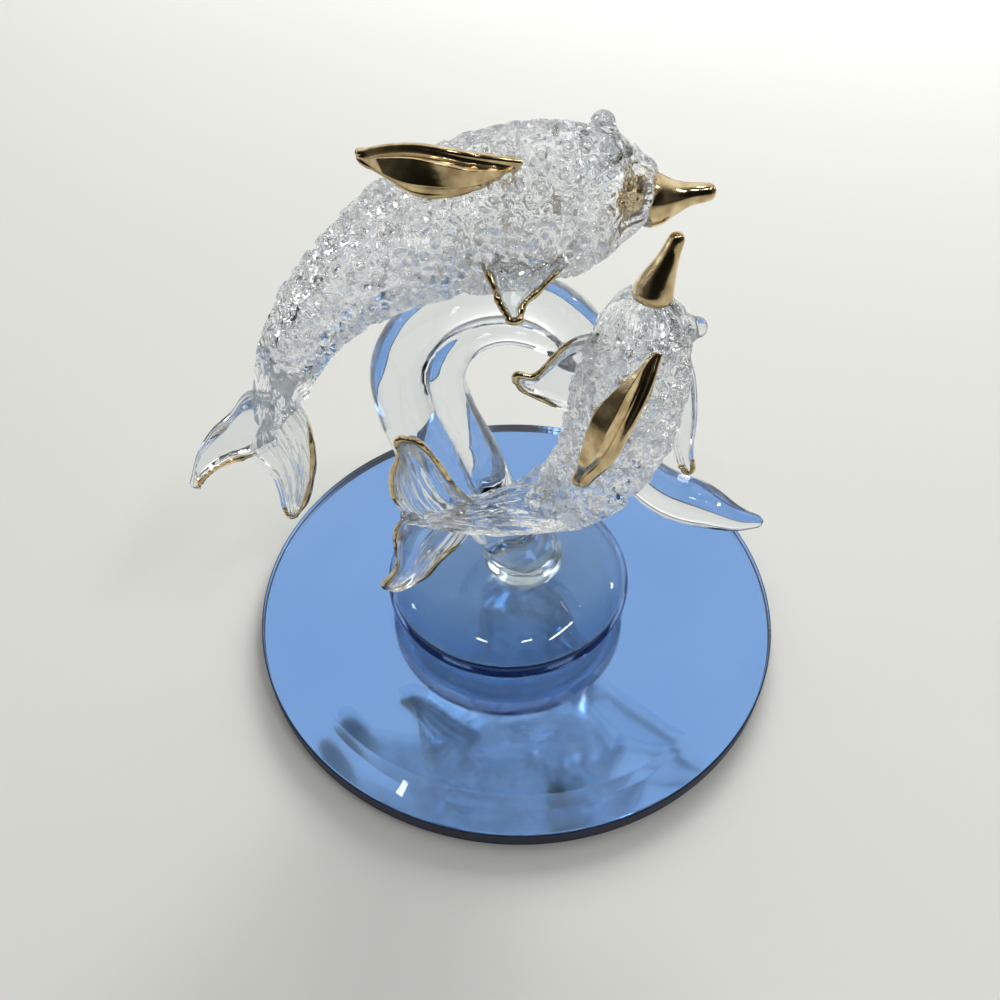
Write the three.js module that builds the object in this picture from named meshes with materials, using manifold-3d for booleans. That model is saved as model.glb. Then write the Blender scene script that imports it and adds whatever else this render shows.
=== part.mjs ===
import * as THREE from 'three';
import { mergeVertices } from 'three/addons/utils/BufferGeometryUtils.js';
import Module from 'manifold-3d';

// Spun glass dolphins on a glass wave. Millimetres, +Z up, origin at the middle of the mirror's underside.
// The viewer stands on the -Y side and the large dolphin swims towards +X.

// Bevelled mirror
const MIRROR_RADIUS = 51;
const MIRROR_EDGE = 3.5;
const MIRROR_THICKNESS = 4.3;
const BEVEL_WIDTH = 6.5;
const MIRROR_SIDES = 80;

// Glass dome, a ball pressed flat on a narrower foot
const DOME_RADIUS = 23.8;
const DOME_FOOT_RADIUS = 19;
const DOME_WIDEST_HEIGHT = 4.2;
const DOME_HEIGHT = 12.8;
const DOME_OFFSET_X = -1.6;
const DOME_OFFSET_Y = -0.2;
const DOME_SIDES = 48;
const DOME_UPPER_STEPS = 7;
const DOME_LOWER_STEPS = 4;

// Whole figure above the dome, up to the bead on the large dolphin's head
const FIGURE_HEIGHT = 82.5;

// Gap left between two pieces that are melted or glued together
const SEAT_GAP = 0.3;

// Facets
const OUTER_ROD_SIDES = 14;
const OUTER_ROD_STEPS = 31;
const INNER_ROD_SIDES = 12;
const INNER_ROD_STEPS = 18;
const COLLAR_SIDES = 24;
const BODY_SIDES = 18;
const BODY_STEPS = 26;
const BEAK_SIDES = 11;
const BEAK_STEPS = 7;
const CAP_STEPS = 3;
const BLADE_STEPS = 7;
const BEAD_SIDES = 10;

// Rows are x, y, the height above the dome's top and the radius there, before they are scaled to FIGURE_HEIGHT.
// Outer rod of the wave: up from the dome, left, over the top, down on the right and out to the free tip
const WAVE_OUTER = [
  [1.2, -0.5, -1.6, 6.6],
  [0.2, -0.8, 2.4, 6.2],
  [-3.2, -1, 7.7, 5.8],
  [-9, -1, 14.7, 5.6],
  [-15.2, -1, 25.2, 5.3],
  [-18.6, -1, 35.6, 4.7],
  [-18.9, -1, 43.6, 4.4],
  [-14.8, -1, 50.9, 4.2],
  [-8.8, -1, 54.8, 4.1],
  [-1.8, -0.6, 55.6, 4.05],
  [5.2, 0.8, 52.3, 4.1],
  [10.6, 2.4, 45.1, 4.1],
  [14.2, 3.2, 36.1, 4],
  [16.4, 1.5, 28.3, 3.8],
  [20.1, -3.2, 23.6, 3.6],
  [24.4, -8.4, 23, 4],
  [29.5, -11.8, 23.5, 3.8],
  [34.7, -14.3, 23, 2.25],
  [38.1, -15, 23, 1.2],
];
// Inner rod: the second fold of glass, melted to the front of the outer one
const WAVE_INNER = [
  [0.6, -1.6, 2.9, 5],
  [-2.9, -3.4, 15.5, 3.7],
  [-6.9, -3.6, 28.4, 3.3],
  [-10.3, -3.4, 37, 3.2],
  [-11.4, -3.2, 44, 3],
  [-8.6, -2.8, 49.1, 2.7],
  [-3.2, -2.4, 50.9, 2.2],
  [2.7, -1.4, 49.1, 2.1],
  [8.6, 1, 43.3, 2],
];
// Collar where the rods stand on the dome
const COLLAR_RADIUS = 7.6;
const COLLAR_NECK_RADIUS = 6.2;
const COLLAR_HEIGHT = 3.2;
const COLLAR_SINK = 1.1;

const LARGE_BODY = [
  [17.2, -3, 71.8, 1.6],
  [16.4, -3, 71.9, 3.1],
  [14.8, -3, 72.2, 5.4],
  [12, -2.5, 72.2, 7.6],
  [6.8, -2, 71.4, 9.65],
  [1.5, -1.5, 70.1, 10.6],
  [-4.5, -1.2, 68.8, 10.6],
  [-11, -1, 66.8, 9.8],
  [-17.8, -1.5, 63.6, 8.6],
  [-23.6, -2, 59.7, 7.4],
  [-27.9, -2.5, 56.1, 6.6],
  [-31, -3.2, 52.3, 6],
  [-33.9, -4.4, 48.2, 5.5],
  [-36.2, -5.6, 43.7, 4.8],
  [-38.2, -6.8, 39.6, 3.2],
];
const LARGE_BEAK = [
  [15.6, -3, 71.7, 3.5],
  [17.4, -3.1, 71.8, 3.3],
  [19.2, -3.2, 72.1, 2.3],
  [21, -3.3, 72.5, 1.55],
  [23.3, -3.5, 72.9, 1.2],
];
const LARGE_BEAD = [9.5, -1.2, 81.1, 1.4];

const SMALL_BODY = [
  [18, -6, 60.6, 1.4],
  [17.9, -6.1, 59.8, 2.6],
  [17.6, -6.2, 58.1, 5.2],
  [17, -6.8, 53.9, 7.1],
  [16.5, -7.4, 48.9, 8.4],
  [15.8, -8.2, 42.3, 9.1],
  [14.4, -9.3, 35.9, 8.7],
  [12, -10.4, 30.5, 7.8],
  [8.2, -11.4, 26.7, 6.9],
  [3.6, -12.2, 24.5, 5.8],
  [-1.9, -12.8, 23, 4.5],
  [-8.6, -13.2, 22.5, 3.3],
  [-14, -13.4, 22.5, 2.3],
  [-18, -13.5, 22.6, 1.5],
];
const SMALL_BEAK = [
  [17.6, -6, 59.5, 2.8],
  [18.1, -5.9, 61.1, 2.6],
  [18.8, -5.7, 63.3, 1.9],
  [19.5, -5.3, 65.5, 1.35],
  [20, -5.1, 67.1, 1.15],
];
const SMALL_BEAD = [24.8, -6.6, 54.4, 1.4];

// Blades: a leading and a trailing edge from root to tip, the radius of the rounded rim and the half
// thickness of the glass between the rims
const LARGE_BLADES = {
  dorsal: {
    lead: [[-0.8, -6.9, 78.3], [-7.2, -7.6, 79.5], [-13.4, -5.8, 79.7], [-18, -4.4, 78.8], [-20.4, -3.6, 77.8]],
    trail: [[-1.2, -6.5, 77.8], [-5.6, -7.6, 75.9], [-9.9, -8, 74.9], [-13.6, -7.6, 74.9], [-17.4, -5.6, 76.2],
      [-20.2, -3.9, 77.2]],
    rim: 0.55,
    web: 1.05,
  },
  nearFin: {
    lead: [[-5.4, -9.6, 66.3], [-4.2, -11.8, 64.7], [-3.4, -13, 62.9], [-2, -14.2, 60.8]],
    trail: [[5.4, -9.2, 66.1], [2.2, -11.4, 63.9], [-0.2, -13.1, 62.3], [-0.6, -14.2, 61]],
    rim: 0.42,
    web: 0.55,
  },
  farFin: {
    lead: [[-5.4, 6.2, 66.3], [-4.2, 8.6, 64.7], [-3.4, 10, 62.9], [-1.8, 11.1, 60.9]],
    trail: [[5.4, 6.2, 66.1], [2.2, 8.4, 63.9], [-0.2, 10.1, 62.3], [-0.8, 11.1, 61.2]],
    rim: 0.42,
    web: 0.55,
  },
  leftFluke: {
    lead: [[-37.4, -6.4, 42.9], [-41.5, -6.8, 42.4], [-44.7, -7.2, 38.8], [-48.2, -8, 35.9], [-51.4, -8.7, 31.2],
      [-53.5, -9.4, 25.9]],
    trail: [[-38.6, -7.6, 33.9], [-42.6, -8.8, 32], [-45.8, -9, 30.9], [-49.1, -9, 29.1], [-51.4, -9.2, 27.1],
      [-52.6, -9.4, 25.3]],
    rim: 0.5,
    web: 0.75,
  },
  rightFluke: {
    lead: [[-36.6, -6.4, 43.4], [-33.4, -7.4, 38.9], [-32.8, -8.6, 33.5], [-33.7, -9.3, 27.4], [-35.9, -9.8, 21.5],
      [-37.7, -10, 19.3]],
    trail: [[-42, -8.4, 34.7], [-42.4, -8.8, 31.8], [-39.9, -9.2, 28.4], [-39.2, -9.6, 24.5], [-39.1, -10, 21.3],
      [-38.8, -10, 19.7]],
    rim: 0.5,
    web: 0.75,
  },
};
const SMALL_BLADES = {
  dorsal: {
    lead: [[18.3, -13.4, 54.9], [16.8, -16.6, 51.3], [14.6, -18.9, 46.3], [12.3, -19.6, 40.5], [9.2, -18.6, 35.2]],
    trail: [[17.9, -13.2, 54.8], [14.4, -14.6, 50.3], [10.8, -15, 46.3], [9.6, -16.4, 41.1], [8.2, -17.9, 35.1]],
    rim: 0.55,
    web: 1.05,
  },
  leftFin: {
    lead: [[11, -5.8, 52.7], [7.1, -6, 51.6], [4.5, -6, 48.5], [1.9, -6, 45.3], [-0.6, -6, 45.6]],
    trail: [[9, -7.4, 39.9], [5.5, -6.8, 40.3], [3.2, -6.3, 41.3], [0.3, -6, 42.7], [-0.9, -6, 44.5]],
    rim: 0.42,
    web: 0.6,
  },
  rightFin: {
    lead: [[21.4, -6, 53.4], [25, -6.8, 47.4], [26.6, -8, 39.9], [27, -8.8, 32.9], [27.7, -9, 28.9]],
    trail: [[21, -9.4, 41.3], [23.2, -9.4, 36.9], [24.3, -9.4, 33.3], [25.5, -9.3, 30.3], [26.8, -9.2, 28.3]],
    rim: 0.42,
    web: 0.55,
  },
  upperFluke: {
    lead: [[-7.6, -13, 24.9], [-10.9, -13.4, 30.3], [-13, -13.6, 35.1], [-15.4, -13.2, 38.4], [-17.8, -12.8, 38.9]],
    trail: [[-17.6, -13.4, 21.9], [-20, -13.2, 26.5], [-20, -13, 31.5], [-18.6, -12.8, 35.5], [-18.7, -12.8, 37.8]],
    rim: 0.42,
    web: 0.65,
  },
  lowerFluke: {
    lead: [[-7.6, -13, 20.3], [-10.2, -13.6, 16], [-12.9, -13.8, 12.9], [-16.7, -13.8, 7.1], [-21.4, -13.6, 3.9],
      [-23.6, -13.6, 4.3]],
    trail: [[-17.6, -13.4, 23.3], [-20.3, -13.6, 19.5], [-20.8, -13.7, 14.5], [-21.2, -13.7, 9.3],
      [-23.5, -13.6, 5.5]],
    rim: 0.42,
    web: 0.65,
  },
};

const SEAT_Z = MIRROR_THICKNESS + DOME_HEIGHT;
const POSE_SCALE = FIGURE_HEIGHT / (LARGE_BEAD[2] + LARGE_BEAD[3]);

const wasm = await Module();
wasm.setup();

// Turns a closed geometry into a solid that can be joined and cut.
function solidOf(geometry) {
  const bare = geometry.index ? geometry.clone() : mergeVertices(geometry.clone());
  bare.deleteAttribute('normal');
  bare.deleteAttribute('uv');
  const closed = mergeVertices(bare, 1e-4);
  const mesh = new wasm.Mesh({
    numProp: 3,
    vertProperties: new Float32Array(closed.attributes.position.array),
    triVerts: new Uint32Array(closed.index.array),
  });
  return new wasm.Manifold(mesh);
}

// Wraps a solid in a named mesh with its own material.
function pieceOf(name, solid, look) {
  const mesh = solid.getMesh();
  const geometry = new THREE.BufferGeometry();
  geometry.setAttribute('position', new THREE.BufferAttribute(new Float32Array(mesh.vertProperties), 3));
  geometry.setIndex(new THREE.BufferAttribute(new Uint32Array(mesh.triVerts), 1));
  geometry.computeVertexNormals();
  const piece = new THREE.Mesh(geometry, new THREE.MeshStandardMaterial(look));
  piece.name = name;
  return piece;
}

// Rows scaled to the figure's height and set on the dome's top.
function posed(rows) {
  return rows.map(([x, y, height, ...radius]) => [
    x * POSE_SCALE,
    y * POSE_SCALE,
    SEAT_Z + height * POSE_SCALE,
    ...radius.map((r) => r * POSE_SCALE),
  ]);
}

// Closed skin over a row of rings with the same number of points, with a point at each end.
function skinOf(first, rings, last) {
  const sides = rings[0].length;
  const points = [first, ...rings.flat(), last];
  const lastIndex = points.length - 1;
  const faces = [];
  for (let i = 0; i < sides; i += 1) {
    const next = (i + 1) % sides;
    faces.push(0, 1 + next, 1 + i);
    for (let j = 0; j + 1 < rings.length; j += 1) {
      const a = 1 + j * sides;
      const b = a + sides;
      faces.push(a + i, a + next, b + next, a + i, b + next, b + i);
    }
    const top = 1 + (rings.length - 1) * sides;
    faces.push(top + i, top + next, lastIndex);
  }
  const geometry = new THREE.BufferGeometry();
  geometry.setAttribute('position', new THREE.Float32BufferAttribute(points.flatMap((p) => p.toArray()), 3));
  geometry.setIndex(faces);
  return geometry;
}

// Smooth curve through rows of x, y, z.
function curveOf(rows) {
  return new THREE.CatmullRomCurve3(rows.map((row) => new THREE.Vector3(row[0], row[1], row[2])));
}

// Round rod along a path whose rows carry the radius, with round ends; extra fattens it all over.
function rodOf(path, sides, steps, extra = 0) {
  const rows = posed(path);
  const centre = curveOf(rows);
  const radius = new THREE.CatmullRomCurve3(rows.map((row) => new THREE.Vector3(row[3] + extra, 0, 0)));
  const stations = Array.from({ length: steps + 1 }, (_, j) => j / steps);
  const spots = stations.map((t) => ({
    middle: centre.getPoint(t),
    along: centre.getTangent(t),
    size: radius.getPoint(t).x,
  }));
  const start = spots[0];
  const end = spots[steps];
  const cap = Array.from({ length: CAP_STEPS }, (_, k) => ((k + 1) / (CAP_STEPS + 1)) * (Math.PI / 2));
  const capSpot = (spot, angle, way) => ({
    middle: spot.middle.clone().addScaledVector(spot.along, way * spot.size * Math.sin(angle)),
    along: spot.along,
    size: spot.size * Math.cos(angle),
  });
  const all = [
    ...cap.map((angle) => capSpot(start, angle, -1)).reverse(),
    ...spots,
    ...cap.map((angle) => capSpot(end, angle, 1)),
  ];
  let across = new THREE.Vector3(0, 1, 0);
  const rings = all.map(({ middle, along, size }) => {
    across = across.clone().addScaledVector(along, -across.dot(along)).normalize();
    const up = new THREE.Vector3().crossVectors(along, across);
    return Array.from({ length: sides }, (_, i) => {
      const angle = (i / sides) * Math.PI * 2;
      return middle.clone()
        .addScaledVector(across, size * Math.cos(angle))
        .addScaledVector(up, size * Math.sin(angle));
    });
  });
  const first = start.middle.clone().addScaledVector(start.along, -start.size);
  const last = end.middle.clone().addScaledVector(end.along, end.size);
  return solidOf(skinOf(first, rings, last));
}

// Fin or fluke: a web of glass between two round rims, closed by a round tip.
function bladeOf(blade) {
  const leading = curveOf(posed(blade.lead));
  const trailing = curveOf(posed(blade.trail));
  const rim = blade.rim * POSE_SCALE;
  const web = blade.web * POSE_SCALE;
  const middleAt = (t) => leading.getPoint(t).add(trailing.getPoint(t)).multiplyScalar(0.5);
  const ring = (t) => {
    const from = leading.getPoint(t);
    const to = trailing.getPoint(t);
    const chord = to.clone().sub(from);
    const width = chord.length();
    chord.normalize();
    const span = middleAt(Math.min(t + 0.05, 1)).sub(middleAt(Math.max(t - 0.05, 0)));
    const normal = new THREE.Vector3().crossVectors(chord, span).normalize();
    const shoulder = Math.min(1.6 * rim, 0.4 * width);
    const half = rim * Math.SQRT1_2;
    const thick = web > rim ? rim + (web - rim) * Math.min(1, width / (6 * rim)) : web;
    const section = [
      [0, rim], [-half, half], [-rim, 0], [-half, -half], [0, -rim],
      [shoulder, -thick], [width / 2, -thick], [width - shoulder, -thick],
      [width, -rim], [width + half, -half], [width + rim, 0], [width + half, half], [width, rim],
      [width - shoulder, thick], [width / 2, thick], [shoulder, thick],
    ];
    return section.map(([along, high]) => from.clone().addScaledVector(chord, along).addScaledVector(normal, high));
  };
  const rings = Array.from({ length: BLADE_STEPS + 1 }, (_, j) => ring(j / BLADE_STEPS));
  const tipWay = middleAt(1).sub(middleAt(0.95)).normalize();
  const skin = skinOf(middleAt(0), rings, middleAt(1).addScaledVector(tipWay, rim));
  const solid = solidOf(skin);
  return solid.volume() < 0 ? solidOf(flipped(skin)) : solid;
}

// The same skin with its faces turned over.
function flipped(geometry) {
  const turned = geometry.clone();
  const index = Array.from(geometry.index.array);
  for (let i = 0; i < index.length; i += 3) {
    const keep = index[i];
    index[i] = index[i + 1];
    index[i + 1] = keep;
  }
  turned.setIndex(index);
  return turned;
}

function beadOf(bead) {
  const [[x, y, z, radius]] = posed([bead]);
  const ball = new THREE.SphereGeometry(radius, BEAD_SIDES, BEAD_SIDES / 2);
  ball.translate(x, y, z);
  return solidOf(ball);
}

// Turned profile of radius and height, lifted so that height 0 lies at base, with its axis upright.
function turned(profile, sides, x, y, base) {
  const lathe = new THREE.LatheGeometry(profile.map(([r, h]) => new THREE.Vector2(r, h)), sides);
  lathe.rotateX(Math.PI / 2);
  lathe.translate(x, y, base);
  return solidOf(lathe);
}

function mirrorPiece() {
  const profile = [
    [0, 0],
    [MIRROR_RADIUS, 0],
    [MIRROR_RADIUS, MIRROR_EDGE],
    [MIRROR_RADIUS - BEVEL_WIDTH, MIRROR_THICKNESS],
    [0, MIRROR_THICKNESS],
  ];
  return turned(profile, MIRROR_SIDES, 0, 0, 0);
}

function domeSolid(extra = 0) {
  const under = Array.from({ length: DOME_LOWER_STEPS }, (_, i) => {
    const angle = (i / DOME_LOWER_STEPS) * (Math.PI / 2);
    const reach = DOME_FOOT_RADIUS + (DOME_RADIUS - DOME_FOOT_RADIUS) * Math.sin(angle);
    return [reach + extra, DOME_WIDEST_HEIGHT * (1 - Math.cos(angle))];
  });
  const over = Array.from({ length: DOME_UPPER_STEPS }, (_, i) => {
    const angle = (i / DOME_UPPER_STEPS) * (Math.PI / 2);
    const rise = DOME_HEIGHT + extra - DOME_WIDEST_HEIGHT;
    return [(DOME_RADIUS + extra) * Math.cos(angle), DOME_WIDEST_HEIGHT + rise * Math.sin(angle)];
  });
  const profile = [[0, 0], ...under, ...over, [0, DOME_HEIGHT + extra]];
  return turned(profile, DOME_SIDES, DOME_OFFSET_X, DOME_OFFSET_Y, MIRROR_THICKNESS);
}

function waveSolid(extra = 0) {
  const [[x, y]] = posed(WAVE_OUTER);
  const collar = [
    [0, -COLLAR_HEIGHT],
    [COLLAR_RADIUS + extra, -COLLAR_HEIGHT],
    [COLLAR_RADIUS + extra, 0],
    [COLLAR_NECK_RADIUS + extra, COLLAR_HEIGHT],
    [0, COLLAR_HEIGHT],
  ];
  return rodOf(WAVE_OUTER, OUTER_ROD_SIDES, OUTER_ROD_STEPS, extra)
    .add(rodOf(WAVE_INNER, INNER_ROD_SIDES, INNER_ROD_STEPS, extra))
    .add(turned(collar, COLLAR_SIDES, x, y, SEAT_Z - COLLAR_SINK));
}

function dolphinSolid(body, beak, bead, blades) {
  const start = rodOf(body, BODY_SIDES, BODY_STEPS)
    .add(rodOf(beak, BEAK_SIDES, BEAK_STEPS))
    .add(beadOf(bead));
  return Object.values(blades).reduce((solid, blade) => solid.add(bladeOf(blade)), start);
}

const fatWave = waveSolid(SEAT_GAP);
const mirror = mirrorPiece();
const dome = domeSolid();
const wave = waveSolid().subtract(domeSolid(SEAT_GAP));
const large = dolphinSolid(LARGE_BODY, LARGE_BEAK, LARGE_BEAD, LARGE_BLADES).subtract(fatWave);
const small = dolphinSolid(SMALL_BODY, SMALL_BEAK, SMALL_BEAD, SMALL_BLADES).subtract(fatWave);

const group = new THREE.Group();
group.name = 'spun_glass_dolphins';
group.add(pieceOf('bevelled_mirror', mirror, { color: 0x74a3d8, roughness: 0.05, metalness: 0.6 }));
group.add(pieceOf('glass_dome', dome, { color: 0x5f9bd6, roughness: 0.04, metalness: 0 }));
group.add(pieceOf('glass_wave', wave, { color: 0xdfe9f2, roughness: 0.03, metalness: 0 }));
group.add(pieceOf('large_dolphin', large, { color: 0xe4e7ea, roughness: 0.12, metalness: 0 }));
group.add(pieceOf('small_dolphin', small, { color: 0xdde2e6, roughness: 0.12, metalness: 0 }));

export default group;
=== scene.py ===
import math

import bpy
import numpy as np
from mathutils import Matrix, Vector


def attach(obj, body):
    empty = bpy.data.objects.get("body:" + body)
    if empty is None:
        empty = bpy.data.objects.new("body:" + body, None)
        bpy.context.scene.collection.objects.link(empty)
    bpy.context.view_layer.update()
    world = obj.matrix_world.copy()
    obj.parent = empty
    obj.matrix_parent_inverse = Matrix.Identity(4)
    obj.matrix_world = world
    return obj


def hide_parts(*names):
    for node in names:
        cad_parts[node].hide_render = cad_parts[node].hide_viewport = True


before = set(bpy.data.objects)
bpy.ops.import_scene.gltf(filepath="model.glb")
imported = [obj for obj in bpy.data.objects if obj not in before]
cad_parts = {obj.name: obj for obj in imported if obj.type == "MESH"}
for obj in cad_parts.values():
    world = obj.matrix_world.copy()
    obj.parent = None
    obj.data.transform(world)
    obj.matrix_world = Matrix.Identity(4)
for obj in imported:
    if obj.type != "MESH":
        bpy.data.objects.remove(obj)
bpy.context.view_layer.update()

MM = 0.001

# Bevelled mirror and dome, in mm as in the part's source
MIRROR_RADIUS = 51.0
MIRROR_EDGE = 3.5          # height of the bevel's outer edge above the table
MIRROR_THICKNESS = 4.3
BEVEL_WIDTH = 6.5
BACKING = 0.35             # paint and silvering under the mirror glass
EDGE_PAINT = 0.35          # paint round the mirror glass
GLUE = 0.02                # how deep the dome's foot sinks into the mirror glass, so that no air is between
DOME_RADIUS = 23.8
DOME_FOOT_RADIUS = 19.0
DOME_WIDEST_HEIGHT = 4.2
DOME_HEIGHT = 12.8
DOME_OFFSET = (-1.6, -0.2)
PAINTED_DARK_REFLECTION_BAND = (-0.7, 2.0)    # lower and upper end of the painted dark reflection, a navy line, from the dome's widest ring
SEAT_Z = MIRROR_THICKNESS + DOME_HEIGHT

# Rows of x, y, height above the dome's top and radius, in mm as in the part's source
WAVE_OUTER = [
    (1.2, -0.5, -1.6, 6.6), (0.2, -0.8, 2.4, 6.2), (-3.2, -1, 7.7, 5.8), (-9, -1, 14.7, 5.6),
    (-15.2, -1, 25.2, 5.3), (-18.6, -1, 35.6, 4.7), (-18.9, -1, 43.6, 4.4), (-14.8, -1, 50.9, 4.2),
    (-8.8, -1, 54.8, 4.1), (-1.8, -0.6, 55.6, 4.05), (5.2, 0.8, 52.3, 4.1), (10.6, 2.4, 45.1, 4.1),
    (14.2, 3.2, 36.1, 4), (16.4, 1.5, 28.3, 3.8), (20.1, -3.2, 23.6, 3.6), (24.4, -8.4, 23, 4),
    (29.5, -11.8, 23.5, 3.8), (34.7, -14.3, 23, 2.25), (38.1, -15, 23, 1.2),
]
WAVE_INNER = [
    (0.6, -1.6, 2.9, 5), (-2.9, -3.4, 15.5, 3.7), (-6.9, -3.6, 28.4, 3.3), (-10.3, -3.4, 37, 3.2),
    (-11.4, -3.2, 44, 3), (-8.6, -2.8, 49.1, 2.7), (-3.2, -2.4, 50.9, 2.2), (2.7, -1.4, 49.1, 2.1),
    (8.6, 1, 43.3, 2),
]
COLLAR_RADIUS = 7.6
COLLAR_NECK_RADIUS = 6.2
COLLAR_HEIGHT = 3.2
COLLAR_SINK = 1.1

# Each dolphin: rows of body, beak and bead, and calm, the shares of the body's length where the thread starts and
# ends. Dorsal fin and blades: points of the leading and trailing edge, half thickness of rim and web in mm, and
# the swells, dimples and gold that blade() and gilded() explain.
LARGE = {
    "body": [
        (17.2, -3, 71.8, 1.6), (16.4, -3, 71.9, 3.1), (14.8, -3, 72.2, 5.4), (12, -2.5, 72.2, 7.6),
        (6.8, -2, 71.4, 9.65), (1.5, -1.5, 70.1, 10.6), (-4.5, -1.2, 68.8, 10.6), (-11, -1, 66.8, 9.8),
        (-17.8, -1.5, 63.6, 8.6), (-23.6, -2, 59.7, 7.4), (-27.9, -2.5, 56.1, 6.6), (-31, -3.2, 52.3, 6),
        (-33.9, -4.4, 48.2, 5.5), (-36.2, -5.6, 43.7, 4.8), (-38.2, -6.8, 39.6, 3.2),
    ],
    "beak": [
        (15.2, -3, 71.7, 0.8), (15.4, -3, 71.7, 2.8), (15.9, -3, 71.7, 3.55), (17.4, -3.1, 71.8, 3.3),
        (19.2, -3.2, 72.1, 2.3), (21, -3.3, 72.5, 1.55), (23.3, -3.5, 72.9, 1.2),
    ],
    "bead": [(9.3, -2, 77.6, 3.8), (9.35, -1.7, 79.2, 2.8), (9.45, -1.3, 80.6, 1.7)],
    "calm": (0.07, 0.9),
    "dorsal": {
        "lead": [(-0.8, -6.9, 78.3), (-7.2, -7.6, 79.5), (-13.4, -5.8, 79.7), (-18, -4.4, 78.8),
                 (-20.4, -3.6, 77.8)],
        "trail": [(-1.2, -6.5, 77.8), (-5.6, -7.6, 75.9), (-9.9, -8, 74.9), (-13.6, -7.6, 74.9),
                  (-17.4, -5.6, 76.2), (-20.2, -3.9, 77.2)],
        "rim": 0.55, "web": 0.5, "soft": 2, "knob": 0.3,
        "swell": [(0.14, 0.16, 0.26, 0.9, -0.3, 1.3), (0.56, 0.5, 0.3, 0.6, -0.1, 1.1)],
    },
    "blades": {
        "near_fin": {
            "lead": [(-5.4, -9.6, 66.3), (-4.2, -11.8, 64.7), (-3.4, -13, 62.9), (-2, -14.2, 60.8)],
            "trail": [(5.4, -9.2, 66.1), (2.2, -11.4, 63.9), (-0.2, -13.1, 62.3), (-0.6, -14.2, 61)],
            "rim": 0.42, "web": 0.35, "swell": [(0.5, 0.5, 0.4, 0.7, -0.3, 1.2)], "gold": (0, 0),
        },
        "far_fin": {
            "lead": [(-5.4, 6.2, 66.3), (-4.2, 8.6, 64.7), (-3.4, 10, 62.9), (-1.8, 11.1, 60.9)],
            "trail": [(5.4, 6.2, 66.1), (2.2, 8.4, 63.9), (-0.2, 10.1, 62.3), (-0.8, 11.1, 61.2)],
            "rim": 0.42, "web": 0.35, "swell": [(0.5, 0.5, 0.4, 0.7, -0.3, 1.2)], "gold": (0, 0),
        },
        "left_fluke": {
            "lead": [(-37.4, -6.4, 42.9), (-41.5, -6.8, 42.4), (-44.7, -7.2, 38.8), (-48.2, -8, 35.9),
                     (-51.4, -8.7, 31.2), (-53.4, -9.4, 25.9)],
            "trail": [(-38.6, -7.6, 33.9), (-42.6, -8.8, 32), (-45.8, -9, 30.9), (-49.1, -9, 29.1),
                      (-51.4, -9.2, 27.1), (-52.6, -9.4, 25.3)],
            "rim": 0.5, "web": 0.4, "swell": [(0.16, 0.2, 0.2, 1, -0.4, 1.1), (0.6, 0.6, 0.34, 0.8, -0.5, 0.9)],
            "gold": (1, 0.15),
        },
        "right_fluke": {
            "lead": [(-36.6, -6.4, 43.4), (-33.4, -7.4, 38.9), (-32.8, -8.6, 33.5), (-33.7, -9.3, 27.4),
                     (-35.9, -9.8, 21.5), (-37.7, -10, 19.3)],
            "trail": [(-42, -8.4, 34.7), (-42.4, -8.8, 31.8), (-39.9, -9.2, 28.4), (-39.2, -9.6, 24.5),
                      (-39.1, -10, 21.3), (-38.8, -10, 19.7)],
            "rim": 0.5, "web": 0.4, "swell": [(0.2, 0.2, 0.18, 0.8, -0.4, 1.1), (0.6, 0.6, 0.3, 0.9, 0, 0.95)],
            "dimples": [(0.5, 0.55, 0.3, 0.3, 0.5, 1.2)], "gold": (0.25, 0.8),
        },
    },
}
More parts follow.
